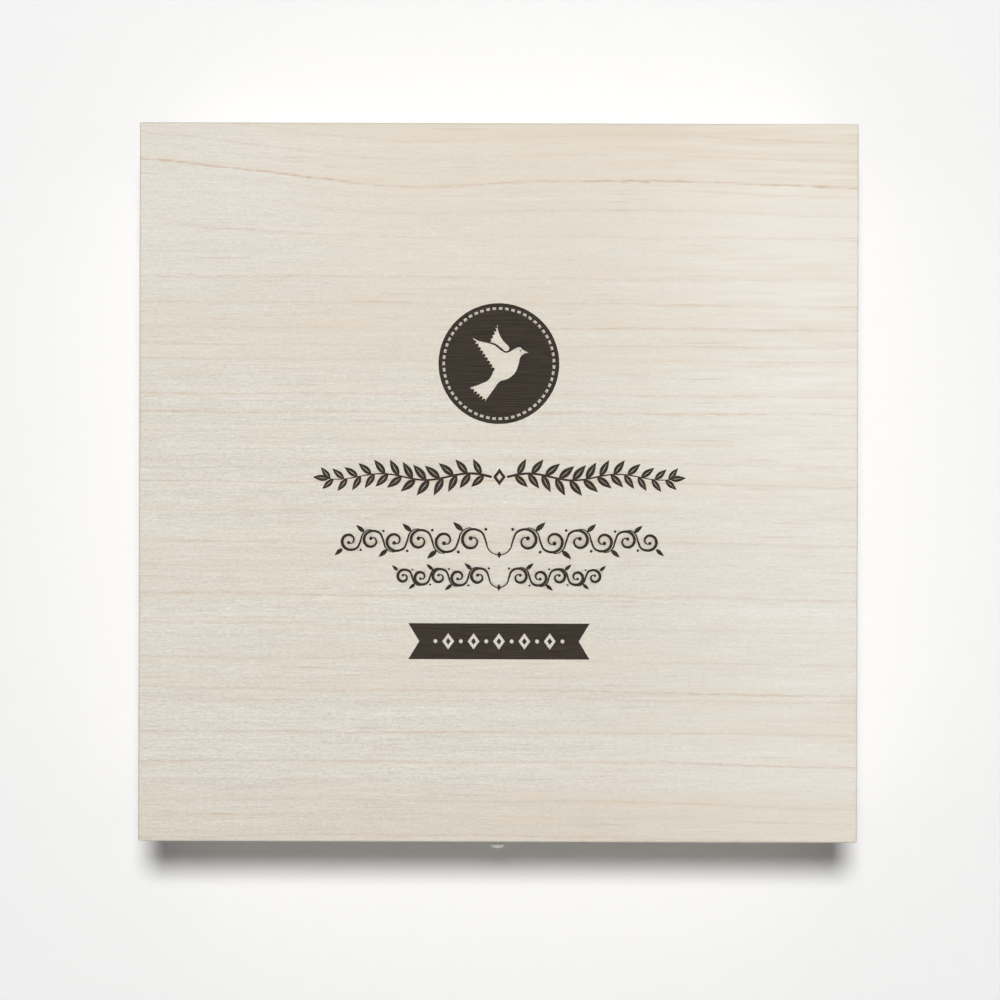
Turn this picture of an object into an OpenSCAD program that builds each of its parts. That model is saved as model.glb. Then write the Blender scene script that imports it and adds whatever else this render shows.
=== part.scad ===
// Hinged keepsake box of pale wood. Finger-jointed walls carry an edge-glued panel above and below,
// two small butt hinges lie in a groove along the back, and a swing hook holds the lid in front.
// The origin is under the middle of the box, +Z is up and the hook is on the -Y side.

/* [Box] */
// Outside width, from left to right
box_w = 300; // [260:5:400]
// Outside depth, from front to back
box_d = 300; // [260:5:400]
// Height of the base, up to the middle of the seam
base_h = 85; // [60:1:160]
// Height of the lid, up from the middle of the seam
lid_h = 35; // [28:1:60]
// Thickness of the walls
wall_t = 10; // [9:0.5:14]
// Thickness of the panel glued over the lid walls
lid_panel_t = 6; // [4:0.5:9]
// Thickness of the panel glued under the base walls
floor_panel_t = 5; // [4:0.5:9]
// Gap at the seam between the closed lid and the base
seam_gap = 0.4; // [0.3:0.05:0.8]
// Radius sanded on the outside edges
edge_r = 0.8; // [0.4:0.1:1.5]
// Leg of the small bevel sanded on the rims at the front and sides
rim_bevel = 0.5; // [0.3:0.1:1]

/* [Boards and corners] */
// Width of the front board in each panel
front_board_w = 61; // [40:1:80]
// Width of the middle board in each panel
middle_board_w = 113; // [80:1:130]
// Height wanted for a corner finger; a whole number of them fills the wall
finger_h = 10; // [7:0.5:16]

/* [Hinges] */
// Distance from the side of the box to the middle of a hinge
hinge_inset = 55; // [30:1:90]
// Length of a hinge along the seam
hinge_len = 30; // [24:1:45]
// Width of a leaf, from the pin's centre to its inner edge
leaf_w = 6.5; // [6.3:0.1:6.7]
// Thickness of a leaf
leaf_t = 1; // [0.8:0.05:1.1]
// Diameter of the hinge pin
pin_d = 2; // [1.6:0.1:2.2]
// Number of knuckles along a hinge
knuckles = 5; // [3:2:7]
// Distance of a leaf's screws from its ends
leaf_screw_inset = 6; // [4:0.5:9]
// Leg of the bevel on each back edge; the two bevels make the groove
groove_leg = 3; // [2.6:0.1:3.6]
// Angle to which the lid opens before its back edge meets the base
lid_open = 105; // [95:1:112]

/* [Clasp] */
// Height of the stud above the seam
stud_rise = 13; // [11:0.5:16]
// Drop of the hook's pivot below the seam
pivot_drop = 13; // [11:0.5:16]
// Distance of the pivot to the left of the stud
pivot_side = 9; // [5:0.5:12]
// Thickness of the two clasp plates
plate_t = 1; // [0.8:0.1:1.4]
// Radius of a plate's middle lobe
plate_lobe_r = 5; // [4.2:0.1:6]
// Radius of a plate's two ends
plate_end_r = 3; // [2.6:0.1:3.6]
// Distance of a plate's screws from its middle
plate_screw_x = 7; // [6:0.5:10]
// Thickness of the hook
hook_t = 1.2; // [1:0.1:1.6]
// Width of the hook's shank where it meets the eye and the catch
hook_w = 5.6; // [5:0.1:6.4]
// Width of the hook's waist, half way along the shank
waist_w = 3.2; // [2.6:0.1:4]
// Width of metal round the eye
eye_ring_w = 2.5; // [2:0.1:3.4]
// Width of metal round the catch
catch_ring_w = 3; // [2.4:0.1:4]
// Length of the thumb tail beyond the catch
tail_l = 5; // [3:0.5:8]
// Width of the thumb tail
tail_w = 2.4; // [2:0.1:3]
// Diameter of the round end of the thumb tail
tail_end_d = 3.6; // [3.2:0.1:4.4]
// Diameter of the necks of the stud and the rivet
neck_d = 3; // [2.4:0.1:3.4]
// Diameter of the stud's head
stud_head_d = 6; // [5.4:0.1:8]
// Height of the stud's head
stud_head_h = 1.8; // [1.4:0.1:2.6]
// Diameter of the rivet's head
rivet_head_d = 5.4; // [4.6:0.1:7]
// Height of the rivet's head
rivet_head_h = 1.4; // [1.2:0.1:2.2]
// Height of the straight rim under the domes of both heads
head_rim_h = 0.9; // [0.5:0.1:1]

/* [Screws] */
// Diameter of a screw head
screw_head_d = 3.6; // [3.2:0.1:3.8]
// Diameter of a screw shank
screw_d = 1.8; // [1.4:0.1:2]
// Length of a screw
screw_len = 8; // [6:0.5:9]

/* [Clearances] */
// Gap round a turning pin or neck
running_gap = 0.05; // [0.02:0.01:0.08]
// Gap between faces that pass each other
part_gap = 0.3; // [0.3:0.05:0.5]
// Gap round screws and round let-in leaves
fit_gap = 0.05; // [0.02:0.01:0.1]
// Gap between the stud's neck and the hook's notch
catch_gap = 0.35; // [0.3:0.05:0.6]

/* [Hidden] */
$fn = 48;

wood = [0.89, 0.85, 0.79];
metal = [0.72, 0.72, 0.71];
overshoot = 1; // how far a cutting shape runs past the face that it cuts

total_h = base_h + lid_h;
base_wall_z = floor_panel_t;
base_wall_h = base_h - seam_gap / 2 - base_wall_z;
lid_wall_z = base_h + seam_gap / 2;
lid_wall_h = total_h - lid_panel_t - lid_wall_z;
base_fingers = round(base_wall_h / finger_h);
lid_fingers = round(lid_wall_h / finger_h);

// The bevelled back edges of lid and base swing together and stop the lid. The pin lies in from the
// back so that they are still a little apart when the lid is open all the way.
stop_margin = 4.5;
pin_inset = (groove_leg + seam_gap / 2) / tan((lid_open + stop_margin) / 2);
pin_y = box_d / 2 - pin_inset;
hinge_x = box_w / 2 - hinge_inset;
barrel_r = pin_d / 2 + running_gap + leaf_t;
knuckle_l = (hinge_len - (knuckles - 1) * part_gap) / knuckles;
leaf_plate_w = leaf_w - barrel_r - part_gap;

countersink_h = (screw_head_d - screw_d) / 2;
screw_point_l = screw_d;
recess_w = 0.5; // one bar of the cross in a screw head
recess_l = 0.62 * screw_head_d;
recess_h = 0.5;

neck_r = neck_d / 2;
tail_flare = 0.5; // the riveted end of a neck spreads by this much, behind its plate
hook_z = plate_t + part_gap;
head_z = hook_z + hook_t + part_gap;
reach = norm([pivot_side, stud_rise + pivot_drop]);
notch_r = neck_r + catch_gap;
catch_r = notch_r + catch_ring_w;
eye_r = neck_r + running_gap + eye_ring_w;
shank_blend = 1; // how far the hollows of the shank run past the eye and the catch

// ---- Shapes shared by the wooden pieces ----

// A rectangle about the origin with round corners.
module soft_rectangle(w, h, r) {
    square([w - 2 * r, h], center = true);
    square([w, h - 2 * r], center = true);
    for (sx = [-1, 1], sy = [-1, 1])
        translate([sx * (w / 2 - r), sy * (h / 2 - r)]) circle(r = r);
}

// The whole closed box as one block, with its outside edges sanded.
module sanded_block() {
    intersection() {
        linear_extrude(total_h) soft_rectangle(box_w, box_d, edge_r);
        rotate([90, 0, 0]) linear_extrude(box_d, center = true)
            translate([0, total_h / 2]) soft_rectangle(box_w, total_h, edge_r);
        rotate([90, 0, 90]) linear_extrude(box_w, center = true)
            translate([0, total_h / 2]) soft_rectangle(box_d, total_h, edge_r);
    }
}

// One board of a panel, from one depth to another, at the height z.
module board(y_front, y_rear, z, t) {
    color(wood) intersection() {
        sanded_block();
        translate([-box_w / 2, y_front, z]) cube([box_w, y_rear - y_front, t]);
    }
}

middle_joint_y = -box_d / 2 + front_board_w;
rear_joint_y = middle_joint_y + middle_board_w;
module front_board(z, t) { board(-box_d / 2, middle_joint_y, z, t); }
module middle_board(z, t) { board(middle_joint_y, rear_joint_y, z, t); }
module rear_board(z, t) { board(rear_joint_y, box_d / 2, z, t); }

// Points up one end of a wall: the fingers of the given parity reach the corner, and the others
// stop short by the thickness of the wall that they meet.
function finger_edge(end_x, z, h, count, parity) =
    [for (i = [0 : count - 1], top = [0, 1])
        [i % 2 == parity ? end_x : end_x - wall_t, z + (i + top) * h / count]];

// A wall along X with its outside on y = 0, cut with fingers at both ends.
module fingered_wall(length, z, h, count, parity) {
    right = finger_edge(length / 2, z, h, count, parity);
    left = [for (i = [len(right) - 1 : -1 : 0]) [-right[i][0], right[i][1]]];
    translate([0, wall_t, 0]) rotate([90, 0, 0]) linear_extrude(wall_t) polygon(concat(right, left));
}

// The walls are jointed round the whole box and then sawn apart at the seam, so the fingers of the
// lid carry on from those of the base.
module base_wall(length, parity) {
    fingered_wall(length, base_wall_z, base_wall_h, base_fingers, parity);
}
module lid_wall(length, parity) {
    fingered_wall(length, lid_wall_z, lid_wall_h, lid_fingers, (base_fingers + parity) % 2);
}

module at_front() { translate([0, -box_d / 2, 0]) children(); }
module at_back() { translate([0, box_d / 2, 0]) mirror([0, 1, 0]) children(); }
module at_left() { translate([-box_w / 2, 0, 0]) mirror([1, 0, 0]) rotate([0, 0, 90]) children(); }
module at_right() { translate([box_w / 2, 0, 0]) rotate([0, 0, 90]) children(); }

// The groove that two bevelled rims make together, along the face at a distance of half_depth in +Y.
module rim_groove(leg, half_depth, length) {
    out = leg + overshoot;
    rotate([90, 0, 90]) linear_extrude(length + 2 * overshoot, center = true)
        translate([half_depth - leg, base_h]) polygon([
            [0, -seam_gap / 2],
            [out, -seam_gap / 2 - out],
            [out, seam_gap / 2 + out],
            [0, seam_gap / 2]
        ]);
}

// A deep groove along the back, where the hinges lie, and a fine one along the front and sides.
module rim_grooves() {
    rim_groove(groove_leg, box_d / 2, box_w);
    rotate(180) rim_groove(rim_bevel, box_d / 2, box_w);
    for (side = [-90, 90]) rotate(side) rim_groove(rim_bevel, box_w / 2, box_d);
}

// A wall trimmed to the sanded outside and grooved along its rim. The first child is the wall as it
// is jointed, and any further child is cut out of it.
module finished_wall() {
    color(wood) difference() {
        intersection() {
            sanded_block();
            children(0);
        }
        rim_grooves();
        if ($children > 1) children([1 : $children - 1]);
    }
}

module at_hinge(side) { translate([side * hinge_x, pin_y, base_h]) children(); }
module at_stud() { translate([0, -box_d / 2, base_h + stud_rise]) rotate([90, 0, 0]) children(); }
module at_pivot() {
    translate([-pivot_side, -box_d / 2, base_h - pivot_drop]) rotate([90, 0, 0]) children();
}

// ---- Screws ----

// A countersunk wood screw pointing down, with the top of its head at the origin. The gap makes the
// same form larger all round, and rise lets it run on above the head, to cut a hole with.
module screw_body(gap, rise) {
    head_r = screw_head_d / 2 + gap;
    shank_r = screw_d / 2 + gap;
    tip_r = screw_d / 8;
    if (rise > 0) cylinder(h = rise, r = head_r);
    rotate_extrude() polygon([
        [0, 0],
        [head_r, 0],
        [shank_r, -countersink_h],
        [shank_r, screw_point_l - screw_len],
        [tip_r, -screw_len - gap],
        [0, -screw_len - gap]
    ]);
}

module screw() {
    difference() {
        screw_body(0, 0);
        for (turn = [0, 90]) rotate(turn) translate([0, 0, -recess_h / 2 + overshoot / 2])
            cube([recess_l, recess_w, recess_h + overshoot], center = true);
    }
}
module screw_hole() { screw_body(fit_gap, overshoot); }

module at_leaf_screws() {
    screw_y = barrel_r + part_gap + leaf_plate_w / 2;
    for (end = [-1, 1])
        translate([end * (hinge_len / 2 - leaf_screw_inset), -screw_y, -seam_gap / 2]) children();
}
module at_plate_screws() {
    for (end = [-1, 1]) translate([end * plate_screw_x, 0, plate_t]) children();
}

// ---- Hinges ----

// What one leaf and the barrel take out of the back wall below the pin.
module leaf_recess() {
    translate([-hinge_len / 2 - fit_gap, -leaf_w - fit_gap, -seam_gap / 2 - leaf_t])
        cube([hinge_len + 2 * fit_gap, leaf_w + fit_gap, leaf_t + overshoot]);
    rotate([0, 90, 0]) cylinder(h = hinge_len + 2 * part_gap, r = barrel_r + part_gap, center = true);
    at_leaf_screws() screw_hole();
}

// A leaf below the pin: a flat plate whose knuckles, every second one from the first, wrap the pin.
module leaf(first) {
    color(metal) difference() {
        union() {
            translate([-hinge_len / 2, -leaf_w, -seam_gap / 2 - leaf_t])
                cube([hinge_len, leaf_plate_w, leaf_t]);
            for (i = [first : 2 : knuckles - 1])
                translate([-hinge_len / 2 + i * (knuckle_l + part_gap), 0, 0]) {
                    rotate([0, 90, 0]) cylinder(h = knuckle_l, r = barrel_r);
                    translate([0, -leaf_w + leaf_plate_w / 2, -seam_gap / 2 - leaf_t])
                        cube([knuckle_l, leaf_w - leaf_plate_w / 2, leaf_t]);
                }
        }
        rotate([0, 90, 0])
            cylinder(h = hinge_len + 2 * overshoot, r = pin_d / 2 + running_gap, center = true);
        at_leaf_screws() screw_hole();
    }
}

module base_leaf(side) { at_hinge(side) leaf(0); }
module lid_leaf(side) { at_hinge(side) mirror([0, 0, 1]) leaf(1); }
module hinge_pin(side) {
    color(metal) at_hinge(side) rotate([0, 90, 0]) cylinder(h = hinge_len, r = pin_d / 2, center = true);
}

module base_hinge_screws() {
    color(metal) for (side = [-1, 1]) at_hinge(side) at_leaf_screws() screw();
}
module lid_hinge_screws() {
    color(metal) for (side = [-1, 1]) at_hinge(side) mirror([0, 0, 1]) at_leaf_screws() screw();
}

// ---- Clasp, each piece drawn lying on the front face with +Z outwards ----

module plate_outline() {
    circle(r = plate_lobe_r);
    square([2 * plate_screw_x, 2 * plate_end_r], center = true);
    for (end = [-1, 1]) translate([end * plate_screw_x, 0]) circle(r = plate_end_r);
}

// A stud or rivet, turned in one piece: a neck whose end is spread in the back of the plate, and a
// domed head in front of the hook.
module headed_neck(head_d, head_h) {
    dome_h = head_h - head_rim_h;
    dome_r = (pow(head_d / 2, 2) + pow(dome_h, 2)) / (2 * dome_h);
    cylinder(h = head_z, r = neck_r);
    cylinder(h = tail_flare, r1 = neck_r + tail_flare, r2 = neck_r);
    translate([0, 0, head_z]) intersection() {
        cylinder(h = head_h, d = head_d);
        translate([0, 0, head_h - dome_r]) sphere(r = dome_r);
    }
}

// What the neck takes out of its plate, with the countersink for the spread end.
module neck_hole() {
    hole_r = neck_r + fit_gap;
    translate([0, 0, -overshoot]) {
        cylinder(h = plate_t + 2 * overshoot, r = hole_r);
        cylinder(h = overshoot + tail_flare, r1 = hole_r + overshoot + tail_flare, r2 = hole_r);
    }
}

module clasp_plate() {
    difference() {
        linear_extrude(plate_t) plate_outline();
        neck_hole();
        at_plate_screws() screw_hole();
    }
}

// The shank of the hook, hollowed on both sides to its waist.
module shank_outline() {
    hollow = (hook_w - waist_w) / 2;
    chord = reach - eye_r - catch_r + 2 * shank_blend;
    hollow_r = (pow(chord / 2, 2) + pow(hollow, 2)) / (2 * hollow);
    waist_y = -(reach + eye_r - catch_r) / 2;
    difference() {
        translate([-hook_w / 2, -reach]) square([hook_w, reach]);
        for (side = [-1, 1])
            translate([side * (waist_w / 2 + hollow_r), waist_y]) circle(r = hollow_r, $fn = 96);
    }
}

// The hook hangs from its eye. Its notch is an arc about the eye, open on the side that leads when
// the hook swings up to the left and over, so it slides round the stud's neck.
module hook_outline() {
    tail_end_y = -reach - catch_r - tail_l + tail_end_d / 2;
    difference() {
        union() {
            circle(r = eye_r);
            shank_outline();
            translate([0, -reach]) circle(r = catch_r);
            translate([-tail_w / 2, tail_end_y]) square([tail_w, -reach - tail_end_y]);
            translate([0, tail_end_y]) circle(d = tail_end_d);
        }
        circle(r = neck_r + running_gap);
        translate([0, -reach]) circle(r = notch_r);
        intersection() {
            difference() {
                circle(r = reach + notch_r, $fn = 180);
                circle(r = reach - notch_r, $fn = 180);
            }
            translate([-catch_r - overshoot, -reach - catch_r])
                square([catch_r + overshoot, 2 * catch_r]);
        }
    }
}

// ---- The pieces ----

module floor_board_front() { front_board(0, floor_panel_t); }
module floor_board_middle() { middle_board(0, floor_panel_t); }
module floor_board_rear() { rear_board(0, floor_panel_t); }

module base_front_wall() {
    finished_wall() {
        at_front() base_wall(box_w, 0);
        at_pivot() at_plate_screws() screw_hole();
    }
}
module base_back_wall() {
    finished_wall() {
        at_back() base_wall(box_w, 0);
        for (side = [-1, 1]) at_hinge(side) leaf_recess();
    }
}
module base_left_wall() { finished_wall() at_left() base_wall(box_d, 1); }
module base_right_wall() { finished_wall() at_right() base_wall(box_d, 1); }

module lid_board_front() { front_board(total_h - lid_panel_t, lid_panel_t); }
module lid_board_middle() { middle_board(total_h - lid_panel_t, lid_panel_t); }
module lid_board_rear() { rear_board(total_h - lid_panel_t, lid_panel_t); }

module lid_front_wall() {
    finished_wall() {
        at_front() lid_wall(box_w, 0);
        at_stud() at_plate_screws() screw_hole();
    }
}
module lid_back_wall() {
    finished_wall() {
        at_back() lid_wall(box_w, 0);
        for (side = [-1, 1]) at_hinge(side) mirror([0, 0, 1]) leaf_recess();
    }
}
module lid_left_wall() { finished_wall() at_left() lid_wall(box_d, 1); }
module lid_right_wall() { finished_wall() at_right() lid_wall(box_d, 1); }

module left_hinge_base_leaf() { base_leaf(-1); }
module left_hinge_lid_leaf() { lid_leaf(-1); }
module left_hinge_pin() { hinge_pin(-1); }
module right_hinge_base_leaf() { base_leaf(1); }
module right_hinge_lid_leaf() { lid_leaf(1); }
module right_hinge_pin() { hinge_pin(1); }

module keeper_plate() { color(metal) at_stud() clasp_plate(); }
module keeper_stud() { color(metal) at_stud() headed_neck(stud_head_d, stud_head_h); }
module keeper_screws() { color(metal) at_stud() at_plate_screws() screw(); }

module hook_plate() { color(metal) at_pivot() clasp_plate(); }
module hook_rivet() { color(metal) at_pivot() headed_neck(rivet_head_d, rivet_head_h); }
module hook_arm() {
    color(metal) at_pivot() translate([0, 0, hook_z]) linear_extrude(hook_t) hook_outline();
}
module hook_plate_screws() { color(metal) at_pivot() at_plate_screws() screw(); }

floor_board_front();
floor_board_middle();
floor_board_rear();
base_front_wall();
base_back_wall();
base_left_wall();
base_right_wall();
lid_board_front();
lid_board_middle();
lid_board_rear();
lid_front_wall();
lid_back_wall();
lid_left_wall();
lid_right_wall();
left_hinge_base_leaf();
left_hinge_lid_leaf();
left_hinge_pin();
right_hinge_base_leaf();
right_hinge_lid_leaf();
right_hinge_pin();
base_hinge_screws();
lid_hinge_screws();
keeper_plate();
keeper_stud();
keeper_screws();
hook_plate();
hook_rivet();
hook_arm();
hook_plate_screws();
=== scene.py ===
import math
import random

import bmesh
import bpy
from mathutils import Matrix, Vector
from mathutils.geometry import delaunay_2d_cdt


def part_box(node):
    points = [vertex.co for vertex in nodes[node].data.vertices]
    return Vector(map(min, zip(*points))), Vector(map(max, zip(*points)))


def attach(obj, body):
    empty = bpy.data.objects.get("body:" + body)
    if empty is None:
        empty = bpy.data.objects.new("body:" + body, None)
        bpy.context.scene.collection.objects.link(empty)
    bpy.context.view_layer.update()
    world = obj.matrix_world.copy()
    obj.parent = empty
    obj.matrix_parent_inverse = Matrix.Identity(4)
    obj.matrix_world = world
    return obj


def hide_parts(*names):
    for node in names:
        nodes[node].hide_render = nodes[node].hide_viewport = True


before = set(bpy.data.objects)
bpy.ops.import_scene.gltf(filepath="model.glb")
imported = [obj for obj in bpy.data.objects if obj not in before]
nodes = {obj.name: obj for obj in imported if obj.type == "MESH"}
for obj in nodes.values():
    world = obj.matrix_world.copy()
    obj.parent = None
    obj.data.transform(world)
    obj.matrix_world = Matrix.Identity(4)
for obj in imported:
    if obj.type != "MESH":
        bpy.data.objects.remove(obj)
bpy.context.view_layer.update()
mm = 0.001

# The stage: a plain pale board under the box, seen from straight above the lid through a long
# lens. A soft lamp stands nearly overhead, a little behind, two weak ones stand low in front and at
# the right, and the room and the board are seen as evenly white as paper, however far away.
picture_px = 1000
lid_middle_px = (498.4, 482.5)
lid_edge_px = 719.0
lid_turn = math.radians(0.16)
lens_height = 1.5

lid_low, lid_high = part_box("lid_board_middle")
lid_top = lid_high.z
box_width = lid_high.x - lid_low.x
px_per_metre = lid_edge_px / box_width

camera_data = bpy.data.cameras.new("camera")
camera_data.sensor_width = 36
camera_data.lens = camera_data.sensor_width * px_per_metre * lens_height / picture_px
camera = bpy.data.objects.new("camera", camera_data)
bpy.context.scene.collection.objects.link(camera)
camera.location = (
    (picture_px / 2 - lid_middle_px[0]) / px_per_metre,
    (lid_middle_px[1] - picture_px / 2) / px_per_metre,
    lid_top + lens_height,
)
camera.rotation_euler = (0, 0, lid_turn)
bpy.context.scene.camera = camera
bpy.context.scene.view_settings.view_transform = "Standard"


def linear(red, green, blue):
    """A colour read in levels from 0 to 255, as the share of light that the surface returns."""
    parts = [level / 255 for level in (red, green, blue)]
    return (*[part / 12.92 if part < 0.04045 else ((part + 0.055) / 1.055) ** 2.4 for part in parts], 1)


def lamp(name, place, width, watts):
    """A round soft lamp turned towards the box."""
    data = bpy.data.lights.new(name, "AREA")
    data.shape = "DISK"
    data.size = width
    data.energy = watts
    made = bpy.data.objects.new(name, data)
    made.location = place
    made.rotation_euler = Vector(place).to_track_quat("Z", "Y").to_euler()
    bpy.context.scene.collection.objects.link(made)


lamp_height = 2.5
lamp("overhead_lamp", (0, 0.34, lamp_height), width=0.3, watts=48)
lamp("front_lamp", (-0.5, -2.2, 0.25), width=0.9, watts=5)
lamp("side_lamp", (2.1, -0.9, 0.3), width=0.9, watts=3)


class Field:
    """A value that changes over a surface. Sums and products of fields add the nodes they need."""

    def __init__(self, web, socket):
        self.web = web
        self.socket = socket

    def maths(self, operation, *values):
        return self.web.maths(operation, self, *values)

    def __add__(self, other):
        return self.maths("ADD", other)

    __radd__ = __add__

    def __sub__(self, other):
        return self.maths("SUBTRACT", other)

    def __rsub__(self, other):
        return self.web.maths("SUBTRACT", other, self)

    def __mul__(self, other):
        return self.maths("MULTIPLY", other)

    __rmul__ = __mul__

    def __truediv__(self, other):
        return self.maths("DIVIDE", other)

    def ramp(self, low, high):
        """0 below low, 1 above high and a smooth step between."""
        inputs = {"Value": self, "From Min": low, "From Max": high}
        made = self.web.node("ShaderNodeMapRange", {"interpolation_type": "SMOOTHSTEP"}, inputs)
        return Field(self.web, made.outputs["Result"])

    def curve(self, stops, kind="LINEAR"):
        """The height, from 0 to 1, of a curve through stops of place and height."""
        settings = {"interpolation": kind, "stops": stops}
        made = self.web.node("ShaderNodeValToRGB", settings, {"Fac": self})
        return Field(self.web, made.outputs["Color"])


class Web:
    """The nodes of one material, or of the room."""

    def __init__(self, tree):
        self.tree = tree

    def node(self, kind, settings, inputs):
        made = self.tree.nodes.new(kind)
        for name, value in settings.items():
            if name == "stops":
                self.set_stops(made.color_ramp, value)
            elif name == "interpolation":
                made.color_ramp.interpolation = value
            else:
                setattr(made, name, value)
        for name, value in inputs.items():
            self.feed(made.inputs[name], value)
        return made

    def set_stops(self, ramp, stops):
        for place, height in stops[2:]:
            ramp.elements.new(1.0)
        for element, (place, height) in zip(ramp.elements, stops):
            element.position = place
            element.color = (height, height, height, 1)

    def feed(self, socket, value):
        if isinstance(value, Field):
            self.tree.links.new(value.socket, socket)
        else:
            socket.default_value = value

    def maths(self, operation, *values):
        made = self.node("ShaderNodeMath", {"operation": operation}, dict(enumerate(values)))
        return Field(self, made.outputs[0])

    def coordinates(self, output="Object"):
        """The three parts of a point's place in the box's own frame, or of its normal."""
        source = self.node("ShaderNodeTexCoord", {}, {})
        split = self.node("ShaderNodeSeparateXYZ", {}, {0: Field(self, source.outputs[output])})
        return [Field(self, socket) for socket in split.outputs]

    def noise(self, x, y, z, detail=1.0):
        """Smooth noise round 0.5, with one swell to each unit of x, y and z."""
        place = self.node("ShaderNodeCombineXYZ", {}, {0: x, 1: y, 2: z})
        inputs = {"Vector": Field(self, place.outputs[0]), "Scale": 1.0, "Detail": detail}
        return Field(self, self.node("ShaderNodeTexNoise", {}, inputs).outputs[0])

    def blend(self, amount, first, second):
        """From the first colour to the second."""
        inputs = {0: amount, 6: first, 7: second}
        return Field(self, self.node("ShaderNodeMix", {"data_type": "RGBA"}, inputs).outputs[2])

    def seen(self):
        """1 where the camera looks, straight or in a reflection, and 0 for the light on things."""
        rays = self.node("ShaderNodeLightPath", {}, {}).outputs
        straight, glossy, through = [
            Field(self, rays[f"Is {kind} Ray"]) for kind in ("Camera", "Glossy", "Transmission")
        ]
        return straight.maths("MAXIMUM", glossy).maths("MAXIMUM", through)


class Finish(Web):
    """One material, built round a single shader."""

    def __init__(self, name, **constants):
        self.material = bpy.data.materials.new(name)
        self.material.use_nodes = True
        super().__init__(self.material.node_tree)
        self.tree.nodes.clear()
        self.shader = self.node("ShaderNodeBsdfPrincipled", {}, constants)
        self.node("ShaderNodeOutputMaterial", {}, {"Surface": Field(self, self.shader.outputs[0])})

    def surface(self, colour, roughness, height, depth):
        """Gives the shader its colour, its roughness and a fine relief of a depth in metres."""
        relief = self.node("ShaderNodeBump", {}, {"Distance": depth, "Height": height})
        self.feed(self.shader.inputs["Base Color"], colour)
        self.feed(self.shader.inputs["Roughness"], roughness)
        self.feed(self.shader.inputs["Normal"], Field(self, relief.outputs[0]))
        return self.material


backdrop = Finish("backdrop_board", **{"Specular IOR Level": 0.0})
backdrop_x, backdrop_y, backdrop_z = backdrop.coordinates()
paper = backdrop.noise(backdrop_x * 90, backdrop_y * 90, backdrop_z * 90, detail=4)
paper_colour = backdrop.blend(paper, linear(253, 253, 253), linear(255, 255, 255))
# What the overhead lamp lights less, further out, glows that much more where it is seen.
spread = (backdrop_x * backdrop_x + backdrop_y * backdrop_y) / lamp_height ** 2 + 1
lost_light = 0.88 - spread.maths("POWER", -2) * 0.865
glow = backdrop.blend(backdrop.seen() * lost_light, (0, 0, 0, 1), (1, 1, 1, 1))
backdrop.feed(backdrop.shader.inputs["Emission Color"], glow)
backdrop.feed(backdrop.shader.inputs["Emission Strength"], 1.0)
floor_reach = 40
floor_corners = [
    (-floor_reach, -floor_reach, 0),
    (floor_reach, -floor_reach, 0),
    (floor_reach, floor_reach, 0),
    (-floor_reach, floor_reach, 0),
]
floor_mesh = bpy.data.meshes.new("floor")
floor_mesh.from_pydata(floor_corners, [], [(0, 1, 2, 3)])
floor_mesh.materials.append(backdrop.surface(paper_colour, 0.9, paper, 0.2 * mm))
floor = bpy.data.objects.new("floor", floor_mesh)
bpy.context.scene.collection.objects.link(floor)

room_light = 0.08
world = bpy.data.worlds.new("room")
bpy.context.scene.world = world
world.use_nodes = True
room = Web(world.node_tree)
backing = world.node_tree.nodes["Background"].inputs
paper_white = (*[0.96 / room_light] * 3, 1)
room.feed(backing["Color"], room.blend(room.seen(), (1, 1, 1, 1), paper_white))
room.feed(backing["Strength"], room_light)

# The floor panel: three sawn boards of pale, light wood, glued edge to edge, planed to one
# thickness and glued under the walls. Bare wood, sanded along the grain, arrises just broken.
wood_pale = linear(243, 239, 230)
wood_deep = linear(205, 197, 183)
wood_warm = linear(226, 214, 195)
wood_line = linear(190, 148, 106)
wood_end = linear(198, 180, 153)
line_shape = ((-0.8, 0), (0, 1), (0.7, 0))
shoulder_shape = ((-2.2, 0), (0.4, 1), (4.4, 0))
rings_to_a_curve = 8
curve_margin = 8


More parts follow.
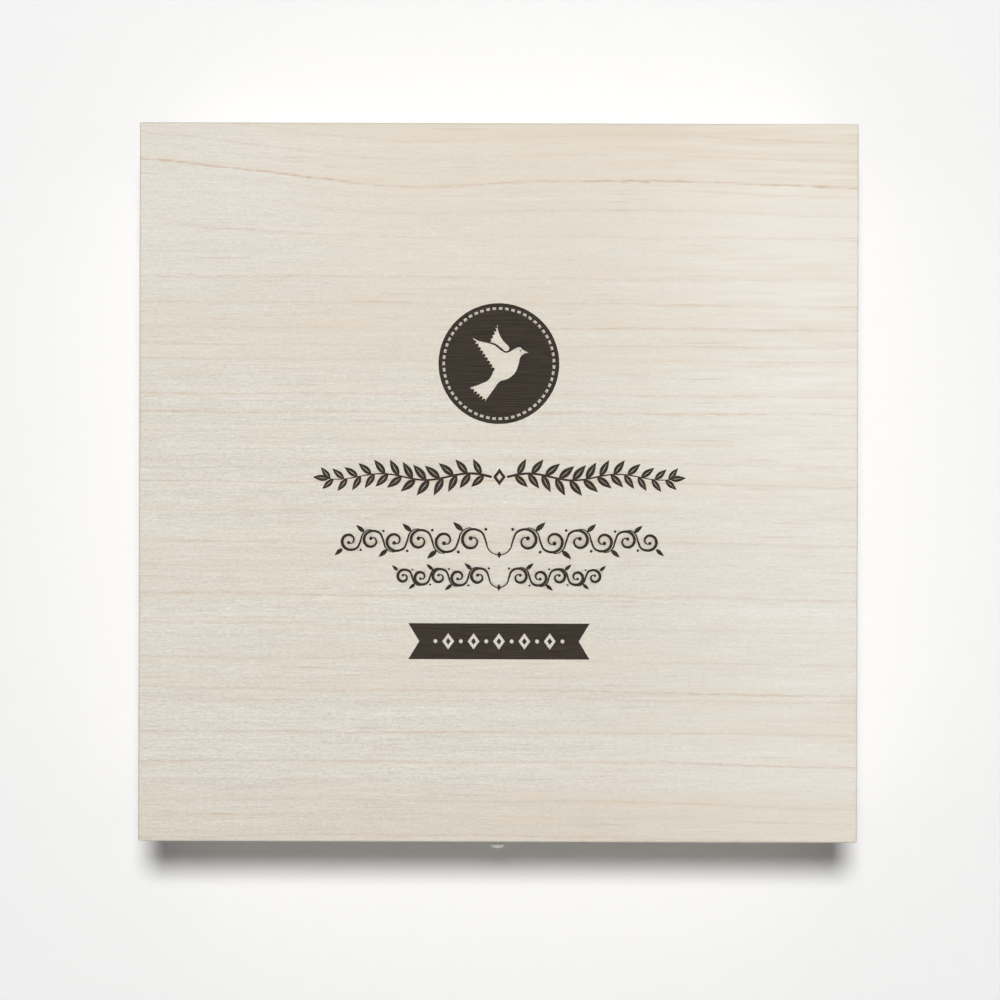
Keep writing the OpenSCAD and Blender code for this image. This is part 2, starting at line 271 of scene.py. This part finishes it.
def wood(name, along, across, face, seed, rings, drift, tone=None):
    """Bare pale wood. The grain runs along one axis, and rings gives the places across the grain,
    in millimetres, of the thin dark lines on the outer face, with a strength for each. drift says
    how far the lines wander, so the faces, edges and ends of a board all agree, and tone how the
    shade and the warmth of the grain change over the board."""
    timber = Finish(name, **{"Specular IOR Level": 0.3})
    places = dict(zip("XYZ", timber.coordinates()))
    normals = dict(zip("XYZ", timber.coordinates("Normal")))
    through = next(axis for axis in "XYZ" if axis not in (along, across))
    length = places[along] + seed
    place = places[across]
    inner = places[through] - face

    def grain(long, short, detail=1.0):
        """Noise with so many swells to the metre along the grain and across it."""
        return timber.noise(length * long, place * short, inner * short, detail) - 0.5

    # The thin dark lines of the rings, each with a soft tan shoulder, are ragged and broken.
    ragged = grain(170, 500) * (0.9 * mm) + grain(55, 260) * (1.2 * mm) + grain(15, 60) * (2.2 * mm)
    row = place + drift(timber, places[along], place) + inner * 0.35 + ragged
    line = 0
    band = 0
    for start in range(0, len(rings), rings_to_a_curve):
        group = rings[start:start + rings_to_a_curve]
        first = group[0][0] - curve_margin
        last = group[-1][0] + curve_margin
        share = (row - first * mm) / ((last - first) * mm)
        line_stops = [(0, 0)]
        band_stops = [(0, 0)]
        for spot, strength in group:
            for stops, shape in ((line_stops, line_shape), (band_stops, shoulder_shape)):
                for shift, height in shape:
                    stops.append(((spot + shift - first) / (last - first), height * strength))
        line = line + share.curve(line_stops)
        band = band + share.curve(sorted(band_stops), "B_SPLINE")
    line = line * (0.4 + grain(5, 40, 2).ramp(-0.12, 0.16) * 0.6)
    line = line * (0.35 + grain(190, 1300).ramp(-0.12, 0.12) * 0.65)
    band = band * (0.3 + grain(5, 50).ramp(-0.12, 0.16) * 0.7)

    # Open grain: fine specks and fibres, streaks, soft bands, mottling, and a few thin dark ticks.
    speck = grain(1500, 2300) * 0.75
    fibre = grain(520, 1250, 2) * 0.9 + grain(120, 1400) * 0.55 + grain(36, 900) * 0.4
    streak = grain(9, 480) * 0.3 + grain(4, 170) * 0.22
    cloud = grain(2.4, 22) * 0.26 + grain(7, 60) * 0.2 + grain(60, 190) * 0.12
    tick = grain(30, 1000, 0).ramp(0.22, 0.34)
    warmth = (grain(2.6, 24) + grain(26, 420) * 0.8).ramp(-0.2, 0.3) * 0.46 + band * 0.6
    shade = (speck + fibre + streak + cloud) * 0.65
    if tone:
        shade, warmth = tone(shade, warmth, places[along], place)
    shade = (shade + 0.4).maths("MAXIMUM", 0).maths("MINIMUM", 1)
    colour = timber.blend(shade, wood_pale, wood_deep)
    colour = timber.blend(warmth, colour, wood_warm)
    colour = timber.blend(tick * 0.22, colour, wood_line)
    colour = timber.blend(line * 0.6, colour, wood_line)

    # The ends show the pores and the seasons' rings.
    end = normals[along].maths("ABSOLUTE").ramp(0.75, 0.95)
    season = ((row + grain(40, 130) * (3 * mm)) * 1500).maths("SINE") * 0.13
    colour = timber.blend(end * (0.48 + grain(30, 2600) * 1.3 + season), colour, wood_end)
    relief = speck * 0.3 + fibre * 0.5 + streak * 0.3 - tick * 0.4 - line * 0.4
    return timber.surface(colour, 0.56 + fibre * 0.12 + end * 0.08, relief, 0.05 * mm)


def gentle(seed, tilt=0.0):
    """Rings that only sway a little along the board."""

    def drift(timber, length, place):
        sway = timber.noise(length * 4 + seed, place * 9, seed) - 0.5
        return sway * (9 * mm) + length * tilt

    return drift


sharp_turn = math.radians(30)
hair = 0.001 * mm


def eased(node, width, steps=1):
    """A copy of a CAD node whose sharp arrises are broken, as fine sandpaper or tumbling does."""
    mesh = bmesh.new()
    mesh.from_mesh(nodes[node].data)
    bmesh.ops.remove_doubles(mesh, verts=mesh.verts, dist=hair)
    bmesh.ops.dissolve_limit(
        mesh, angle_limit=math.radians(0.5), verts=mesh.verts, edges=mesh.edges
    )
    arrises = [edge for edge in mesh.edges if edge.calc_face_angle(0) > sharp_turn]
    bmesh.ops.bevel(
        mesh,
        geom=arrises,
        offset=width,
        offset_type="OFFSET",
        segments=steps,
        profile=0.5,
        affect="EDGES",
        clamp_overlap=False,
    )
    return mesh


def settle(mesh, name, node, body, slot, *finishes):
    """Makes a piece of a mesh, in place of its CAD node, on the body that carries it."""
    data = bpy.data.meshes.new(name)
    mesh.to_mesh(data)
    mesh.free()
    data.shade_smooth()
    data.set_sharp_from_angle(angle=sharp_turn)
    for finish in finishes:
        data.materials.append(finish)
    piece = bpy.data.objects.new(name, data)
    bpy.context.scene.collection.objects.link(piece)
    flats = piece.modifiers.new("flat_faces_stay_flat", "WEIGHTED_NORMAL")
    flats.keep_sharp = True
    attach(piece, body)
    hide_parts(node)


glue_line = 0.05 * mm
floor_rings = {
    "front": [(-131, 0.5), (-118, 0.8), (-99, 0.6)],
    "middle": [(-78, 0.7), (-52, 0.5), (-31, 0.9), (-6, 0.6), (14, 0.5)],
    "rear": [(41, 0.6), (66, 0.8), (83, 0.5), (112, 0.9), (133, 0.6)],
}
for number, (place, rings) in enumerate(floor_rings.items()):
    node = f"floor_board_{place}"
    finish = wood(f"floor_wood_{place}", "X", "Y", 0, 4.1 + number, rings, gentle(number + 0.7, 0.008))
    settle(eased(node, glue_line), f"floor_panel_{place}", node, "base", "pale_wood", finish)

# The walls: four sawn boards with square fingers cut in their ends, glued up as one closed box,
# then sawn apart into base and lid, so the grain of each runs on across the cut.
wall_rings = {
    "front": [(9, 0.5), (31, 0.9), (44, 0.5), (70, 0.7), (93, 0.6), (108, 0.9)],
    "back": [(18, 0.8), (39, 0.5), (58, 0.6), (77, 0.9), (101, 0.5)],
    "left": [(12, 0.6), (27, 0.9), (55, 0.5), (66, 0.7), (97, 0.8), (111, 0.5)],
    "right": [(22, 0.6), (48, 0.8), (62, 0.5), (89, 0.7), (104, 0.9)],
}
finger_glue_line = 0.1 * mm
for number, (side, rings) in enumerate(wall_rings.items()):
    along = "X" if side in ("front", "back") else "Y"
    outer = box_width / 2 * (1 if side in ("back", "right") else -1)
    drift = gentle(number + 5.2, 0.012)
    finish = wood(f"{side}_wall_wood", along, "Z", outer, 9.3 + 2 * number, rings, drift)
    for part in ("base", "lid"):
        node = f"{part}_{side}_wall"
        mesh = eased(node, finger_glue_line)
        settle(mesh, f"{part}_{side}_board", node, part, "pale_wood", finish)

# The engraving is burnt into the lid by a laser. Its outlines are in millimetres from the middle of
# the lid, each with whether it is cut or left standing. First the roundel, with stitches and a dove.
def smooth(points, steps=6):
    """A smooth line through the points."""
    ends = [points[0], *points, points[-1]]
    line = []
    for before, start, end, after in zip(ends, ends[1:], ends[2:], ends[3:]):
        for step in range(steps):
            t = step / steps
            line.append(
                tuple(
                    b + (c - a) * t / 2
                    + (2 * a - 5 * b + 4 * c - d) * t ** 2 / 2
                    + (3 * b - a - 3 * c + d) * t ** 3 / 2
                    for a, b, c, d in zip(before, start, end, after)
                )
            )
    return [*line, points[-1]]


def feathered(start, end, count, bulge, steps=7):
    """Rounded feather ends side by side, to the right of the way from start to end."""
    run_x = end[0] - start[0]
    run_y = end[1] - start[1]
    length = math.hypot(run_x, run_y)
    line = []
    for feather in range(count):
        for step in range(steps):
            t = step / steps
            share = (feather + t) / count
            out = bulge * math.sin(math.pi * t) ** 0.55 * (1 - 0.3 * t) / length
            line.append((start[0] + run_x * share + run_y * out, start[1] + run_y * share - run_x * out))
    return line


def ring(middle, radius, sides):
    """A circle, as the corners of an even outline."""
    turns = [2 * math.pi * side / sides for side in range(sides)]
    return [
        (middle[0] + radius * math.cos(turn), middle[1] + radius * math.sin(turn)) for turn in turns
    ]


def placed(points, middle, turn=0.0, size=1.0, flip=1):
    """Points turned, scaled, mirrored and set down round a new middle."""
    cos = math.cos(turn) * size
    sin = math.sin(turn) * size
    return [
        (middle[0] + flip * (x * cos - y * sin), middle[1] + x * sin + y * cos) for x, y in points
    ]


roundel_middle = (0.05, 49.6)
roundel_radius = 25.2
stitch_count = 55
stitch_inner = 22.45
stitch_outer = 23.55
stitch_half_turn = 0.033
stitch_corners = [(stitch_inner, -1), (stitch_outer, -1), (stitch_outer, 1), (stitch_inner, 1)]
stitch = [
    (radius * math.cos(side * stitch_half_turn), radius * math.sin(side * stitch_half_turn))
    for radius, side in stitch_corners
]
engraving = [(ring(roundel_middle, roundel_radius, 160), True)]
for number in range(stitch_count):
    turn = 2 * math.pi * (number + 0.5) / stitch_count
    engraving.append((placed(stitch, roundel_middle, turn), False))

wing_tip = (-10.9, 10.8)
wing_edge = (-11.0, 9.6)
beak_tip = (12.3, 4.7)
tail_low = (-6.0, -16.1)
tail_edge = (-11.9, -11.2)
tail_high = (-12.2, -10.1)
wing_root = (-2.3, -3.2)
back = [(-8.6, 9.5), (-4.6, 8.5), (-1.8, 7.6), (0.9, 5.5), (3.1, 4.5), (5.1, 5.3), (7.1, 6.5)]
head = [(8.9, 6.9), (10.1, 5.7)]
breast = [(10.2, 3.9), (8.8, 2.4), (8.1, -0.6), (6.6, -3.9), (3.8, -6.3), (0.3, -7.5), (-2.3, -10.9)]
rump = [(-8.5, -8.9), (-5.1, -7.4), (-3.4, -5.6)]
dove = [
    *smooth([wing_tip, *back, *head, beak_tip]),
    *smooth([beak_tip, *breast, tail_low])[1:],
    *feathered(tail_low, tail_edge, count=5, bulge=1.5),
    *smooth([tail_high, *rump, wing_root]),
    *feathered(wing_root, wing_edge, count=9, bulge=1.3),
]
far_wing_tip = (-0.9, 16.3)
far_wing_foot = (-4.3, 9.0)
far_wing = [(0.1, 12.4), (1.9, 9.4), (4.1, 7.1), (4.2, 5.8), (2.7, 5.2), (0.6, 6.9), (-1.9, 8.5)]
second_wing = [
    *smooth([far_wing_tip, *far_wing, far_wing_foot]),
    *feathered(far_wing_foot, far_wing_tip, count=5, bulge=1.0),
]
eye = ring((9.0, 5.4), 0.3, 10)
for outline, cut in ((dove, False), (second_wing, False), (eye, True)):
    engraving.append((placed(outline, roundel_middle), cut))


# The spray: two leafy twigs that run outwards from a small lozenge. The vein of each leaf is left
# standing, and the stem thins towards its tip.
def stroke(line, width):
    """The outline of a pen stroke along a line, as wide as width says at each share of the way."""
    left = []
    right = []
    last = len(line) - 1
    for number, (x, y) in enumerate(line):
        behind = line[max(number - 1, 0)]
        ahead = line[min(number + 1, last)]
        run_x = ahead[0] - behind[0]
        run_y = ahead[1] - behind[1]
        reach = width(number / last) / 2 / math.hypot(run_x, run_y)
        left.append((x - run_y * reach, y + run_x * reach))
        right.append((x + run_y * reach, y - run_x * reach))
    return left + right[::-1]


def leaf(length, width, steps=9):
    """A pointed leaf with its stalk at the origin, and its vein as a second outline."""
    upper = []
    for step in range(steps + 1):
        t = step / steps
        upper.append((length * t, width / 2 * math.sin(math.pi * t ** 0.8) ** 1.05))
    lower = [(x, -y) for x, y in upper[-2:0:-1]]
    vein_half = 0.13
    vein = [(length * 0.14, 0), (length * 0.4, vein_half), (length * 0.8, 0), (length * 0.4, -vein_half)]
    return upper + lower, vein


spray_middle = (0.4, 2.3)
twig_start = 3.2
twig_length = 68.6
twig_steps = 24
twig_wave = 18.5
twig_sway = 1.5
leaf_pairs = 12
leaf_length = 8.6
leaf_width = 3.3
leaf_stagger = 1.3
lozenge = [(2.6, 0), (0, 3.6), (-2.6, 0), (0, -3.6)]
twig = []
for step in range(twig_steps + 1):
    run = twig_length * step / twig_steps
    sway = twig_sway * math.sin(math.pi * run / twig_wave) * (1 - 0.25 * step / twig_steps)
    twig.append((twig_start + run, sway))
leaves = []
for pair in range(leaf_pairs):
    share = (pair + 0.55) / leaf_pairs
    spot = share * twig_steps
    foot = Vector(twig[int(spot)])
    ahead = Vector(twig[int(spot) + 1])
    heading = ahead - foot
    turn = math.atan2(heading.y, heading.x)
    size = 1 - 0.43 * abs(share - 0.35)
    for side, stagger in ((-1, 0), (1, leaf_stagger)):
        stalk = foot + heading * (spot % 1) + heading.normalized() * stagger
        leaves.append((stalk, turn + side * (0.92 - 0.12 * share), size))
leaves.append((Vector(twig[-1]) - Vector((0.6, 0)), 0.1, 0.78))
for flip in (-1, 1):
    pen = stroke(smooth(twig, 3), lambda t: 1.05 - 0.75 * t)
    engraving.append((placed(pen, spray_middle, flip=flip), True))
    for stalk, turn, size in leaves:
        for outline, cut in zip(leaf(leaf_length * size, leaf_width * size), (True, False)):
            engraving.append((placed(placed(outline, stalk, turn), spray_middle, flip=flip), cut))
engraving.append((placed(lozenge, spray_middle), True))
engraving.append((placed(lozenge, spray_middle, size=0.45), False))


# The two vines under the spray: each runs outwards from the middle as a row of tendrils that wind
# in, turned up and down by turns, and a little smaller every time.
def tendril(size):
    """The line of one tendril, which leaves the one before it along its foot, swings up and winds in."""
    lead = [(-1.92, -0.97), (-1.62, -0.93), (-1.32, -0.76), (-1.1, -0.46), (-1.0, -0.1)]
    winding = []
    steps = 16
    for step in range(1, steps + 1):
        t = step / steps
        angle = math.pi * (0.97 - 2.6 * t)
        radius = 1 - 0.8 * t ** 0.85
        winding.append((radius * math.cos(angle), radius * math.sin(angle)))
    return [(x * size, y * size) for x, y in smooth([*lead, *winding], 4)]


def vine(middle, count, size):
    """The outlines of one vine."""
    spacing = 0.96
    shrink = 0.955
    small_lozenge = [(1.0, 0), (0, 1.5), (-1.0, 0), (0, -1.5)]
    made = [placed(small_lozenge, (middle[0], middle[1] - size * 0.97))]
    x = 2 * spacing * size
    for number in range(count):
        line = tendril(size)
        bud = placed(leaf(size * 0.95, size * 0.36)[0], (size * 0.62, size * 0.7), 0.72)
        shapes = [
            stroke(line, lambda t: 0.34 + 0.85 * math.sin(math.pi * t) ** 1.4),
            ring(line[-1], 0.15 * size, 14),
            ring((-0.98 * size, 0.82 * size), 0.11 * size, 12),
            bud,
        ]
        up = (-1) ** number
        for shape in shapes:
            outline = [(x + along, up * height) for along, height in shape]
            made.extend(placed(outline, middle, flip=flip) for flip in (-1, 1))
        x += spacing * size * (1 + shrink)
        size *= shrink
    return made


upper_vine = vine((0.4, -24.4), count=6, size=5.95)
lower_vine = vine((0.3, -39.5), count=5, size=4.45)
for outline in upper_vine + lower_vine:
    engraving.append((outline, True))

# The ribbon at the foot: a charred band with forked ends, and in it a row of lozenges and dots
# that are left standing, with a small lozenge cut in each large one.
ribbon_low = -73.8
ribbon_high = -58.8
ribbon_half = 37.8
ribbon_fork = 4.5
ribbon_x = 0.4
ribbon_middle = (ribbon_low + ribbon_high) / 2
ribbon = [
    (ribbon_x - ribbon_half, ribbon_low),
    (ribbon_x + ribbon_half, ribbon_low),
    (ribbon_x + ribbon_half - ribbon_fork, ribbon_middle),
    (ribbon_x + ribbon_half, ribbon_high),
    (ribbon_x - ribbon_half, ribbon_high),
    (ribbon_x - ribbon_half + ribbon_fork, ribbon_middle),
]
engraving.append((ribbon, True))
lozenge_spacing = 10.6
dot_radius = 0.85
for number in range(-2, 3):
    spot = (ribbon_x + lozenge_spacing * number, ribbon_middle)
    engraving.append((placed(lozenge, spot, size=0.95), False))
    engraving.append((placed(lozenge, spot, size=0.4), True))
for number in range(-3, 3):
    dot_x = ribbon_x + lozenge_spacing * (number + 0.5)
    engraving.append((ring((dot_x, ribbon_middle), dot_radius, 18), False))


# The lid panel: three boards glued edge to edge like the floor's, a little thicker, with the
# outer edges rounded over. The rear board has the wildest grain. The engraving is cut last.
def carve(mesh, faces, shapes, plane, depth):
    """Cuts shapes into a flat face to one depth. The last shape over a spot says if it is cut
    there or left standing. plane takes millimetres on the face to the box's frame."""
    lookup = {}
    points = []
    fences = []
    for face in faces:
        for edge in face.edges:
            if sum(side in faces for side in edge.link_faces) == 1:
                for vert in edge.verts:
                    if vert not in lookup:
                        lookup[vert] = len(points)
                        points.append((plane.inverted() @ vert.co).xy)
                fences.append([lookup[vert] for vert in edge.verts])
    rim = list(lookup)
    spans = []
    for outline, cut in shapes:
        start = len(points)
        count = len(outline)
        points.extend(Vector(point) for point in outline)
        fences.extend((start + step, start + (step + 1) % count) for step in range(count))
        xs, ys = zip(*outline)
        spans.append((min(xs), max(xs), min(ys), max(ys)))
    spots, _, triangles, sources, _, _ = delaunay_2d_cdt(points, fences, [], 0, 0.00001)

    def inside(x, y, outline):
        found = False
        for (x0, y0), (x1, y1) in zip(outline, outline[1:] + outline[:1]):
            if (y0 > y) != (y1 > y) and x < x0 + (y - y0) * (x1 - x0) / (y1 - y0):
                found = not found
        return found

    def is_cut(triangle):
        x = sum(spots[corner].x for corner in triangle) / 3
        y = sum(spots[corner].y for corner in triangle) / 3
        for (outline, cut), (west, east, south, north) in zip(shapes[::-1], spans[::-1]):
            if west <= x <= east and south <= y <= north and inside(x, y, outline):
                return cut
        return False

    tops = {}
    floors = {}

    def top(spot):
        if spot not in tops:
            known = [source for source in sources[spot] if source < len(rim)]
            tops[spot] = rim[known[0]] if known else mesh.verts.new(plane @ spots[spot].to_3d())
        return tops[spot]

    def floor_of(spot):
        if spot not in floors:
            floors[spot] = mesh.verts.new(plane @ Vector((*spots[spot], -depth)))
        return floors[spot]

    cut_triangles = []
    standing_edges = set()
    for triangle in triangles:
        if is_cut(triangle):
            cut_triangles.append(triangle)
        else:
            mesh.faces.new([top(spot) for spot in triangle])
            standing_edges.update(zip(triangle, (*triangle[1:], triangle[0])))
    for triangle in cut_triangles:
        mesh.faces.new([floor_of(spot) for spot in triangle]).material_index = 1
        for start, end in zip(triangle, (*triangle[1:], triangle[0])):
            if (end, start) in standing_edges:
                side = [top(start), top(end), floor_of(end), floor_of(start)]
                mesh.faces.new(side).material_index = 1
    bmesh.ops.delete(mesh, geom=list(faces), context="FACES_ONLY")


def wild(timber, length, place):
    """Rings that dip and rise as the rear board's do, most of all near the back edge."""
    share = (length + box_width / 2) / box_width
    low_mm = 123
    high_mm = 136
    wave = [
        (0.0, 134.5),
        (0.1, 131.5),
        (0.22, 127.2),
        (0.37, 123.3),
        (0.5, 125.0),
        (0.7, 126.2),
        (0.89, 124.5),
        (1.0, 123.7),
    ]
    stops = [(spot, (height - low_mm) / (high_mm - low_mm)) for spot, height in wave]
    rise = share.curve(stops, "CARDINAL") * ((high_mm - low_mm) * mm)
    return length * 0.004 - rise * place.ramp(92 * mm, 122 * mm)


def lid_tone_and_painted_light(shade, warmth, length, place):
    """The lid is paler to the right and towards the back, which is painted light from the right and the
    back, and its grain shows less to the right. It is cooler to the left, warmer towards the back, and
    a little darker and warmer right at the front."""
    faded = length.ramp(-50 * mm, 130 * mm) * 0.75
    strength = (1.75 - faded) * (1 - place.ramp(-30 * mm, 140 * mm) * 0.35)
    # Painted light: right paints the lid paler to the right, most of all towards the back.
    right = length.ramp(20 * mm, 150 * mm) * (0.33 + place.ramp(-50 * mm, 100 * mm) * 0.28)
    front = 1 - place.ramp(-145 * mm, -115 * mm)
    back = place.ramp(65 * mm, 115 * mm) * length.ramp(-120 * mm, -40 * mm)
    back = back * (0.42 - length.ramp(60 * mm, 140 * mm) * 0.14)
    warmth = warmth * (0.65 + length.ramp(-140 * mm, -40 * mm) * 0.35)
    warmth = warmth + front * length.ramp(-80 * mm, 100 * mm) * 0.3 + back
    # Painted light: the place ramp paints the lid paler towards the back, and right paints it paler to
    # the right.
    shade = shade * strength + 0.15 - place.ramp(20 * mm, 140 * mm) * 0.12 - right + front * 0.08
    return shade, warmth


char = Finish("charred_wood", **{"Specular IOR Level": 0.1})
char_x, char_y, char_z = char.coordinates()
scan = char.noise(char_x * 60, char_y * 3200, char_z * 3200, detail=2)
soot = char.noise(char_x * 260, char_y * 260, char_z * 260, detail=3)
char_colour = char.blend((scan - 0.5) * 2.2 + 0.5, linear(46, 39, 33), linear(78, 69, 61))
char_colour = char.blend(soot * 0.3, char_colour, linear(48, 41, 35))
char_finish = char.surface(char_colour, 0.72 + scan * 0.12, scan + soot * 0.4, 0.04 * mm)

lid_rings = {
    "front": [(-149, 0.7), (-141, 0.5), (-134.8, 0.8), (-118.4, 0.8), (-106, 0.8), (-92.5, 0.4)],
    "middle": [
        (-86.5, 0.8),
        (-74, 0.5),
        (-60, 0.4),
        (-47, 0.9),
        (-25, 0.7),
        (-11.5, 0.3),
        (0, 0.9),
        (8.5, 0.6),
        (16.5, 0.5),
    ],
    "rear": [
        (29, 1.0),
        (36.5, 0.9),
        (51, 0.5),
        (57, 0.5),
        (64.5, 0.6),
        (74.6, 0.5),
        (85.3, 0.5),
        (102, 0.4),
        (111.6, 0.3),
        (119, 0.25),
        (123, 1.6),
        (129, 0.3),
        (134, 0.45),
        (142, 0.45),
    ],
}
lid_drifts = {"front": gentle(2.4, 0.005), "middle": gentle(3.1, 0.005), "rear": wild}
char_depth = 0.35
lid_plane = Matrix.Translation((0, 0, lid_top)) @ Matrix.Scale(mm, 4)
for number, (place, rings) in enumerate(lid_rings.items()):
    node = f"lid_board_{place}"
    drift = lid_drifts[place]
    finish = wood(f"lid_wood_{place}", "X", "Y", lid_top, 1.7 + number, rings, drift, lid_tone_and_painted_light)
    mesh = eased(node, glue_line)
    flat = {face for face in mesh.faces if face.calc_center_median().z > lid_top - hair}
    low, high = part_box(node)
    shapes = [
        (outline, cut)
        for outline, cut in engraving
        if low.y < outline[0][1] * mm < high.y
    ]
    carve(mesh, flat, shapes, lid_plane, char_depth)
    settle(mesh, f"lid_panel_{place}", node, "lid", "pale_wood", finish, char_finish)

# The hinges: two narrow butt hinges, their leaves let into the rims and their knuckles lying in
# the groove along the back. Stamped steel, rolled round the pin and plated with satin nickel.
nickel = linear(192, 190, 185)
nickel_shade = linear(164, 161, 156)


def plated(name, grain, roughness):
    """Satin nickel over pressed steel: fine tool marks one way, and a faint bloom."""
    metal = Finish(name, Metallic=1.0)
    x, y, z = metal.coordinates()
    marks = metal.noise(x * grain[0], y * grain[1], z * grain[2], detail=3)
    bloom = metal.noise(x * 210, y * 210, z * 210, detail=3)
    colour = metal.blend((bloom - 0.5) * 1.6 + 0.5, nickel, nickel_shade)
    satin = roughness + (bloom - 0.5) * 0.2 + (marks - 0.5) * 0.12
    return metal.surface(colour, satin, marks, 0.008 * mm)


press_edge = 0.08 * mm
leaf_steel = plated("nickel_leaf", (400, 5200, 5200), 0.3)
pin_steel = plated("nickel_pin", (5200, 400, 400), 0.26)
for side in ("left", "right"):
    for part in ("base", "lid"):
        node = f"{side}_hinge_{part}_leaf"
        mesh = eased(node, press_edge, 2)
        settle(mesh, f"{side}_{part}_leaf_plate", node, part, "plated_steel", leaf_steel)
    node = f"{side}_hinge_pin"
    settle(eased(node, press_edge, 2), f"{side}_hinge_rod", node, "base", "plated_steel", pin_steel)

# The screws: small countersunk wood screws, zinc plated, driven flush with the hinge leaves and the
# clasp plates. The cross struck in each head tapers inwards, and no two crosses line up.
cross_floor = (0.4 * mm, 0.6 * mm)
cross_extra_depth = 0.3 * mm
cross_narrowing = 0.55
screw_steel = plated("zinc_screw", (2600, 2600, 2600), 0.32)
cross_steel = plated("screw_cross", (900, 900, 900), 0.45)
screwdriver = random.Random(7)


def crossed_screws(node, name, body, facing):
    """A node's screws, each turned by chance about its axis, with its cross drawn in and darker."""
    mesh = eased(node, 0.03 * mm)
    loose = set(mesh.verts)
    while loose:
        screw = {loose.pop()}
        front = list(screw)
        while front:
            near = {edge.other_vert(vert) for vert in front for edge in vert.link_edges}
            front = list(near - screw)
            screw |= near
        loose -= screw
        top = max(vert.co.dot(facing) for vert in screw)
        sides = [sorted(vert.co[axis] for vert in screw) for axis in range(3)]
        middle = Vector((low + high) / 2 for low, *_, high in sides)
        turn = Matrix.Rotation(screwdriver.uniform(0, math.pi / 2), 3, facing)
        for vert in screw:
            vert.co = middle + turn @ (vert.co - middle)
            depth = top - vert.co.dot(facing)
            if cross_floor[0] < depth < cross_floor[1]:
                across = (vert.co - middle) - facing * facing.dot(vert.co - middle)
                vert.co -= across * (1 - cross_narrowing) + facing * cross_extra_depth
                for face in vert.link_faces:
                    face.material_index = 1
    settle(mesh, name, node, body, "zinc_screws", screw_steel, cross_steel)


crossed_screws("base_hinge_screws", "base_leaf_screws", "base", Vector((0, 0, 1)))
crossed_screws("lid_hinge_screws", "lid_leaf_screws", "lid", Vector((0, 0, -1)))

# The keeper on the lid: a stamped plate with rounded ends, two screws, and a headed stud riveted
# through it for the hook to swing over.
plate_edge = 0.15 * mm
plate_steel = plated("nickel_plate", (420, 4800, 4800), 0.28)
turned_steel = plated("nickel_stud", (3000, 600, 3000), 0.22)
for node, name, edge, finish in (
    ("keeper_plate", "keeper_base", plate_edge, plate_steel),
    ("keeper_stud", "keeper_knob", press_edge, turned_steel),
):
    settle(eased(node, edge, 2), name, node, "lid", "plated_steel", finish)
crossed_screws("keeper_screws", "keeper_fixings", "lid", Vector((0, -1, 0)))

# The hook on the base: the same plate with a rivet, and a flat hook blanked from steel that turns
# on the rivet and has a small tail to push it by.
hook_steel = plated("nickel_hook", (4200, 4200, 700), 0.27)
for node, name, edge, finish in (
    ("hook_plate", "hook_base", plate_edge, plate_steel),
    ("hook_rivet", "hook_pivot_rivet", press_edge, turned_steel),
):
    settle(eased(node, edge, 2), name, node, "base", "plated_steel", finish)
crossed_screws("hook_plate_screws", "hook_fixings", "base", Vector((0, -1, 0)))
settle(eased("hook_arm", plate_edge, 3), "swing_hook", "hook_arm", "hook", "plated_steel", hook_steel)
